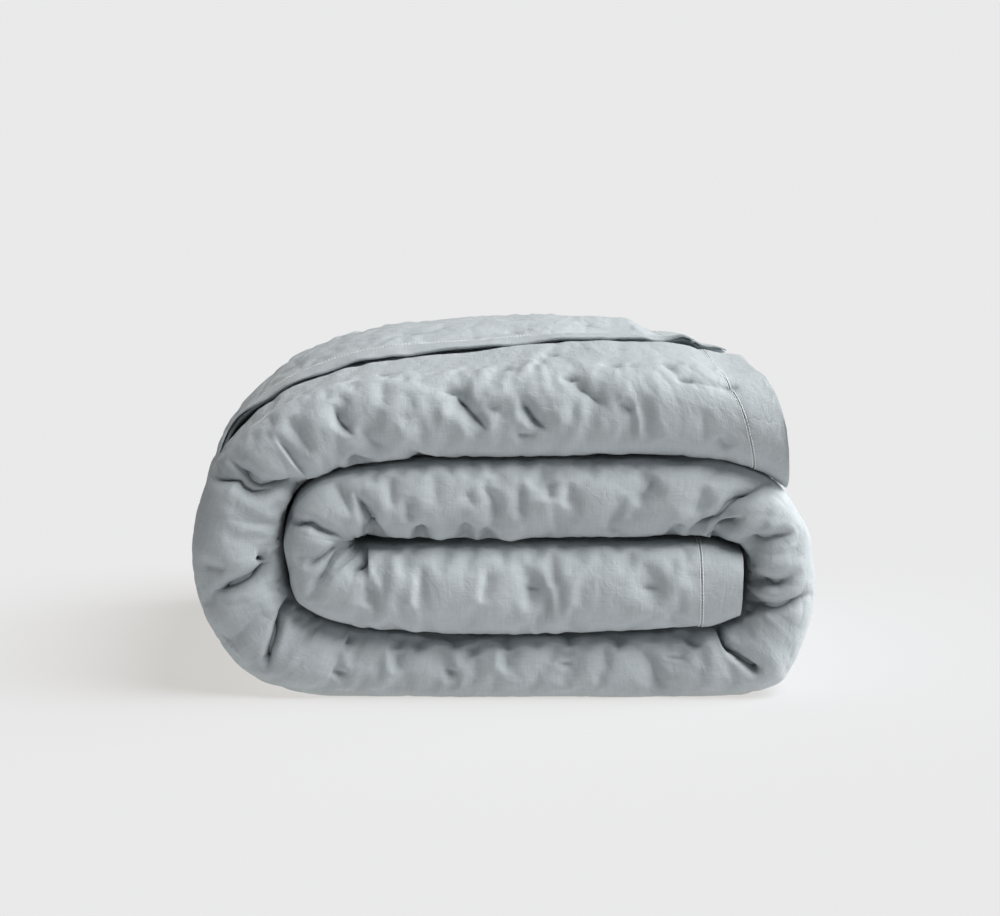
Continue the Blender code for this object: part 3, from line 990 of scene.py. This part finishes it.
def gridFaces(rows, columns, start):
    # Quads of a grid whose points are counted row by row from start.
    i = np.arange(rows - 1)[:, None] * columns + np.arange(columns - 1)[None, :] + start
    return np.stack([i, i + 1, i + columns + 1, i + columns], axis=-1).reshape(-1, 4)


def capFaces(placeA, placeB, startA, startB, flip):
    # Fills the narrow band between the two faces at one end of the sheet with triangles.
    nearB = np.clip(np.searchsorted(placeB, (placeA[:-1] + placeA[1:]) / 2.0), 0, len(placeB) - 1)
    a = np.arange(len(placeA) - 1)
    first = np.stack([startA + a, startA + a + 1, startB + nearB], axis=1)
    b = np.arange(len(placeB) - 1)
    # the point of A where the strip moves on from b to b + 1
    nearA = np.searchsorted((placeA[:-1] + placeA[1:]) / 2.0, placeB[:-1], side="right")
    second = np.stack([startB + b + 1, startB + b, startA + nearA], axis=1)
    faces = np.concatenate([first, second])
    return faces[:, ::-1] if flip else faces


def clothPlaces(runs, face, back):
    # Each point's run and distance across the sheet, and how far it stands proud (+) or dented (-).
    arcs = [face["arc"], arcAcross(back["points"])]
    places = [np.stack([runs[:, None] + 0.0 * arc, arc], axis=-1).reshape(-1, 2) for arc in arcs]
    return np.concatenate(places), np.concatenate([face["dent"].ravel(), np.zeros(arcs[1].size)])


def quiltMesh(face, back):
    # Both faces as grids, with strips that close the two long edges and triangles that close the two ends.
    rows, wideA = face["points"].shape[:2]
    wideB = back["points"].shape[1]
    startB = rows * wideA
    points = np.concatenate([face["points"].reshape(-1, 3), back["points"].reshape(-1, 3)]) * mm
    i = np.arange(rows - 1)
    firstEdge = np.stack([i * wideA, (i + 1) * wideA, startB + (i + 1) * wideB, startB + i * wideB], axis=1)
    lastEdge = firstEdge + np.array([wideA - 1, wideA - 1, wideB - 1, wideB - 1])
    quads = [gridFaces(rows, wideA, 0), gridFaces(rows, wideB, startB)[:, ::-1], firstEdge, lastEdge[:, ::-1]]
    tris = [capFaces(face["place"], back["place"], row * wideA, startB + row * wideB, row == 0)
            for row in (0, rows - 1)]
    return points, np.concatenate(quads), np.concatenate(tris)


def addObject(name, data):
    # A new object in the scene, unmoved, for a mesh, camera or light.
    thing = bpy.data.objects.new(name, data)
    bpy.context.scene.collection.objects.link(thing)
    return thing


def fillMesh(name, points, quads, tris=None, cloth=None, fold=None):
    # cloth is each point's place on the flat cloth in mm, fold how far it stands out of it
    tris = np.zeros((0, 3), int) if tris is None else tris
    mesh = bpy.data.meshes.new(name)
    mesh.vertices.add(len(points))
    mesh.vertices.foreach_set("co", points.astype(np.float32).ravel())
    loops = np.concatenate([quads.ravel(), tris.ravel()]).astype(np.int32)
    starts = np.concatenate([np.arange(len(quads)) * 4, len(quads) * 4 + np.arange(len(tris)) * 3])
    mesh.loops.add(len(loops))
    mesh.loops.foreach_set("vertex_index", loops)
    mesh.polygons.add(len(starts))
    mesh.polygons.foreach_set("loop_start", starts.astype(np.int32))
    if cloth is not None:
        layer = mesh.uv_layers.new(name="cloth")
        layer.data.foreach_set("uv", cloth[loops].astype(np.float32).ravel())
        relief = mesh.attributes.new("fold", "FLOAT", "POINT")
        relief.data.foreach_set("value", fold.astype(np.float32))
    mesh.update(calc_edges=True)
    mesh.shade_smooth()
    return addObject(name, mesh)


runs, faceSide, backSide = buildQuilt()
points, quads, tris = quiltMesh(faceSide, backSide)
quilt = fillMesh("quiltCloth", points, quads, tris, *clothPlaces(runs, faceSide, backSide))
print("quilt mesh:", len(points), "points,", 2 * len(quads) + len(tris), "triangles")
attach(quilt, "root")
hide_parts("quilt")


def linear(hexColour):
    # sRGB hex value to the linear colour that shaders use
    parts = [int(hexColour[i:i + 2], 16) / 255.0 for i in (1, 3, 5)]
    return [c / 12.92 if c <= 0.04045 else ((c + 0.055) / 1.055) ** 2.4 for c in parts] + [1.0]


def newMaterial(name, finish):
    # A material whose shader has the finish's values on its own sockets.
    material = bpy.data.materials.new(name)
    material.use_nodes = True
    shader = material.node_tree.nodes["Principled BSDF"]
    for socket, value in finish.items():
        shader.inputs[socket].default_value = value
    return material, material.node_tree, shader


def addNode(tree, kind, inputs, **settings):
    # One node with its settings. An input is a value, or the socket to link from.
    node = tree.nodes.new("ShaderNode" + kind)
    for name, value in settings.items():
        setattr(node, name, value)
    for name, value in inputs.items():
        if isinstance(value, bpy.types.NodeSocket):
            tree.links.new(value, node.inputs[name])
        else:
            node.inputs[name].default_value = value
    return node


linenPlan = {
    "pale": "#C9D0D3",
    # the darker tone, taken at random from slubs and wash, and in the dents as painted shade
    "deep": "#B2B9BC",
    # painted shade: the dark colour painted into the bottoms of deep creases
    "paintedCreaseShade": "#6F777B",
    "creaseShadeSpan": (-11.0, -18.0),  # from and to this dent, mm, the cloth takes the painted crease shade colour, which stands in for the shade at a crease's bottom
    "wearAndDentShade": (-7.0, 3.0),      # from this dent to this ridge: washing wore the ridges paler, and the dents are darker as painted shade
    "slubLong": 24.0,         # a thick place in a linen yarn, mm
    "yarn": 1.3,              # yarns lie about 0.6 mm apart, drawn twice as coarse so that they show
    "cloud": 55.0,            # uneven wash
    "crumple": 11.0,          # small creases left from washing and drying
    "crumpleHigh": 1.1,       # their height and the slubs', in shares of the relief
    "slubHigh": 0.14,
    "relief": 0.0011,         # metres
    "finish": {"Roughness": 0.85, "Specular IOR Level": 0.3, "Sheen Weight": 0.15, "Sheen Roughness": 0.5},
}


def makeLinen():
    # Stonewashed woven linen: matt and a little furry at grazing angles, with slubs along both yarn
    # directions, an uneven wash, small crumples, paler ridges from wear, and painted shade in the dents and
    # crease bottoms.
    p = linenPlan
    linen, tree, shader = newMaterial("stonewashed woven linen", p["finish"])
    cloth = addNode(tree, "UVMap", {}, uv_map="cloth").outputs["UV"]
    fold = addNode(tree, "Attribute", {}, attribute_name="fold").outputs["Fac"]
    along, across = 1.0 / p["slubLong"], 1.0 / p["yarn"]
    slubs = []
    for scale in ((along, across, 1.0), (across, along, 1.0)):
        drawn = addNode(tree, "Mapping", {"Vector": cloth, "Scale": scale}).outputs["Vector"]
        noise = addNode(tree, "TexNoise", {"Vector": drawn, "Scale": 1.0, "Detail": 2.0, "Roughness": 0.55})
        slubs.append(noise.outputs["Fac"])
    slub = addNode(tree, "Math", {0: slubs[0], 1: slubs[1]}, operation="ADD").outputs[0]
    cloud = addNode(tree, "TexNoise", {"Vector": cloth, "Scale": 1.0 / p["cloud"], "Detail": 3.0})
    crumple = addNode(tree, "TexNoise", {"Vector": cloth, "Scale": 1.0 / p["crumple"], "Detail": 4.0,
                                         "Roughness": 0.55, "Distortion": 0.6})
    wornRidgesShadedDents = addNode(tree, "MapRange", {"Value": fold, "From Min": p["wearAndDentShade"][0], "From Max": p["wearAndDentShade"][1],
                                      "To Min": -0.5, "To Max": 0.25})
    # tone and height are sums, each part times its share; the dent side of tone is painted shade, the ridge
    # side wear
    tone, height = -0.5, 0.0
    for part, share in ((slub, 0.75), (cloud.outputs["Fac"], 0.5), (wornRidgesShadedDents.outputs["Result"], 1.0)):
        tone = addNode(tree, "Math", {0: part, 1: share, 2: tone}, operation="MULTIPLY_ADD").outputs[0]
    for part, share in ((slub, p["slubHigh"]), (crumple.outputs["Fac"], p["crumpleHigh"])):
        height = addNode(tree, "Math", {0: part, 1: share, 2: height}, operation="MULTIPLY_ADD").outputs[0]
    # painted shade: the bottom of a deep crease is painted a dark colour, as if shaded
    creaseShadeSpan = addNode(tree, "MapRange", {"Value": fold, "From Min": p["creaseShadeSpan"][0], "From Max": p["creaseShadeSpan"][1]})
    colour = linear(p["deep"])
    for share, over in ((tone, "pale"), (creaseShadeSpan.outputs["Result"], "paintedCreaseShade")):
        colour = addNode(tree, "Mix", {"Factor": share, 6: colour, 7: linear(p[over])}, data_type="RGBA")
        colour = colour.outputs[2]
    tree.links.new(colour, shader.inputs["Base Color"])
    bump = addNode(tree, "Bump", {"Height": height, "Strength": 1.0, "Distance": p["relief"]})
    tree.links.new(bump.outputs["Normal"], shader.inputs["Normal"])
    return linen


quilt.data.materials.append(makeLinen())

threadPlan = {
    "colour": "#F1F4F4",
    "shade": "#DFE4E5",
    "pitch": 3.2,          # one stitch
    "radius": 0.6,         # drawn a little thick so that it shows
    "apart": 3.0,          # between the two rows of a hem
    "step": 0.8,
    "sides": 5,
    "dive": 0.3,           # how far the thread goes down at each stitch hole
    "lift": 0.6,           # and how far it stands on the cloth between them
    "edgeRun": 1345.0,     # run up to which the outer third's edge shows
    "twist": 900.0,        # ridges per metre, coarser than real twist so that they show
    "finish": {"Roughness": 0.7, "Sheen Weight": 0.2},
}


def acrossSheet(run, side, normals, names, reach):
    # The line across the sheet at one run, over the named columns that lie within reach of the front.
    i = int(np.clip(np.searchsorted(runs, run) - 1, 0, len(runs) - 2))
    share = (run - runs[i]) / (runs[i + 1] - runs[i])
    line, normal = (mix(grid[i], grid[i + 1], share) for grid in (side["points"], normals))
    keep = np.isin(side["names"], names) & (line[:, 1] - side["points"][..., 1].min() < reach)
    return line[keep], normal[keep]


def alongSheet(arc, side, normals, last):
    # The line along the outer third at one distance behind its free edge, up to the run called last.
    rows = np.flatnonzero(runs < last)
    after = np.argmax(side["arc"] > arc, axis=1)[rows]
    arcA, arcB = side["arc"][rows, after - 1], side["arc"][rows, after]
    share = ((arc - arcA) / (arcB - arcA))[:, None]
    return [mix(grid[rows, after - 1], grid[rows, after], share) for grid in (side["points"], normals)]


def threadTube(line, normal):
    # A tube along the line, whose middle stands lift - (lift + dive) * |cos(pi s / pitch)|^4 above the
    # cloth at the distance s.
    t = threadPlan
    travel = travelAlong(line)
    at = np.linspace(0.0, travel[-1], int(travel[-1] / t["step"]) + 2)
    line, normal = (np.stack([np.interp(at, travel, column) for column in values.T], axis=1)
                    for values in (line, normal))
    ahead = unitVectors(np.gradient(line, axis=0))
    aside = unitVectors(np.cross(ahead, normal))
    normal = np.cross(aside, ahead)
    height = t["lift"] - (t["lift"] + t["dive"]) * np.abs(np.cos(math.pi * at / t["pitch"])) ** 4
    middle = line + normal * height[:, None]
    angle = (2.0 * math.pi * np.arange(t["sides"]) / t["sides"])[None, :, None]
    ring = aside[:, None, :] * np.cos(angle) + normal[:, None, :] * np.sin(angle)
    return middle[:, None, :] + t["radius"] * ring


def tubeFaces(rings, sides, start):
    # Quads round a tube whose points are counted ring by ring from start.
    i = np.arange(rings - 1)[:, None] * sides + start
    a = np.arange(sides)[None, :]
    b = (a + 1) % sides
    return np.stack([i + a, i + b, i + sides + b, i + sides + a], axis=-1).reshape(-1, 4)


def makeThreads():
    # Two rows of stitches behind each hem: at both ends of the sheet, and along the outer third's edge.
    t = threadPlan
    normals = outwardNormals(faceSide["points"])
    hem = quiltPlan["hem"]
    lines = []
    for offset in (-t["apart"] / 2.0, t["apart"] / 2.0):
        for run in (hem + offset, coilLength - hem + offset):
            lines.append(acrossSheet(run, faceSide, normals, ["c2", "backFold"], quiltPlan["depth"] * 2.0))
            lines.append(acrossSheet(run, faceSide, normals, ["a1", "nose", "b2"], quiltPlan["shownFront"]))
        lines.append(alongSheet(hem + offset, faceSide, normals, t["edgeRun"]))
    tubes = [threadTube(line, normal) for line, normal in lines if len(line) > 3]
    starts = np.cumsum([0] + [tube.shape[0] * tube.shape[1] for tube in tubes])
    faces = np.concatenate([tubeFaces(len(tube), t["sides"], start) for tube, start in zip(tubes, starts)])
    points = np.concatenate([tube.reshape(-1, 3) for tube in tubes])
    points[:, 2] = np.maximum(points[:, 2], 0.0)
    threads = fillMesh("hemThreads", points * mm, faces)
    # Spun cotton thread: paler than the linen and softly uneven along its twist.
    cotton, tree, shader = newMaterial("spun cotton thread", t["finish"])
    place = addNode(tree, "TexCoord", {}).outputs["Object"]
    twist = addNode(tree, "TexNoise", {"Vector": place, "Scale": t["twist"], "Detail": 2.0}).outputs["Fac"]
    colour = addNode(tree, "Mix", {"Factor": twist, 6: linear(t["shade"]), 7: linear(t["colour"])},
                     data_type="RGBA")
    tree.links.new(colour.outputs[2], shader.inputs["Base Color"])
    threads.data.materials.append(cotton)
    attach(threads, "root")
    print("hem threads:", 2 * len(faces), "triangles")


makeThreads()

roomPlan = {
    "floorHalf": 400.0,
    "cameraAway": 2.6,
    "lens": 102.0,
    "aim": (-0.0015, -0.215, 0.2305),
    "pale": "#E8E8E8",
    "table": "#7C8087",
    "glowColour": "#FFFCF7",
    "glow": 0.6,                       # light of the table itself, which keeps its shadows pale
    "air": 0.02,                       # even light from all round
    "key": (3.2, 40.0, 56.0, -18.0),   # energy, softness, elevation, bearing
    "side": (1.8, 50.0, 24.0, 4.0),
}


def makeFloor():
    # A pale table lit from below: its shadow is never darker than its own warm glow.
    p = roomPlan
    half = p["floorHalf"]
    corners = np.array([[-half, -half, 0], [half, -half, 0], [half, half, 0], [-half, half, 0]])
    floor = fillMesh("studioFloor", corners, np.array([[0, 1, 2, 3]]))
    finish = {"Base Color": linear(p["table"]), "Roughness": 1.0, "Specular IOR Level": 0.0,
              "Emission Color": linear(p["glowColour"]), "Emission Strength": p["glow"]}
    floor.data.materials.append(newMaterial("lit acrylic table", finish)[0])


def makeCamera():
    # Looks down by the tilt at the point it aims at, from cameraAway metres in front of it.
    p = roomPlan
    data = bpy.data.cameras.new("camera")
    data.lens = p["lens"]
    data.sensor_width = 36.0
    camera = addObject("camera", data)
    rise = math.radians(cameraTilt)
    x, y, z = p["aim"]
    camera.location = (x, y - p["cameraAway"] * math.cos(rise), z + p["cameraAway"] * math.sin(rise))
    camera.rotation_euler = (math.pi / 2.0 - rise, 0.0, 0.0)
    bpy.context.scene.camera = camera


def makeSun(name, energy, softness, elevation, bearing):
    # bearing is where the light comes from, in degrees from +X towards +Y
    sun = bpy.data.lights.new(name, "SUN")
    sun.energy = energy
    sun.angle = math.radians(softness)
    light = addObject(name, sun)
    light.rotation_euler = (0.0, math.radians(90.0 - elevation), math.radians(bearing))


def makeLights():
    # The backdrop past the floor's far edge looks as pale as the floor, but lights nothing.
    world = bpy.data.worlds.new("studio air")
    world.use_nodes = True
    tree = world.node_tree
    air = tree.nodes["Background"]
    air.inputs["Color"].default_value = (1.0, 1.0, 1.0, 1.0)
    air.inputs["Strength"].default_value = roomPlan["air"]
    backdrop = addNode(tree, "Background", {"Color": linear(roomPlan["pale"])})
    seen = addNode(tree, "LightPath", {})
    either = addNode(tree, "MixShader", {"Fac": seen.outputs["Is Camera Ray"], 1: air.outputs["Background"],
                                         2: backdrop.outputs["Background"]})
    tree.links.new(either.outputs["Shader"], tree.nodes["World Output"].inputs["Surface"])
    bpy.context.scene.world = world
    makeSun("soft key light", *roomPlan["key"])
    makeSun("soft side light", *roomPlan["side"])


makeFloor()
makeCamera()
makeLights()
bpy.context.scene.view_settings.view_transform = "Standard"
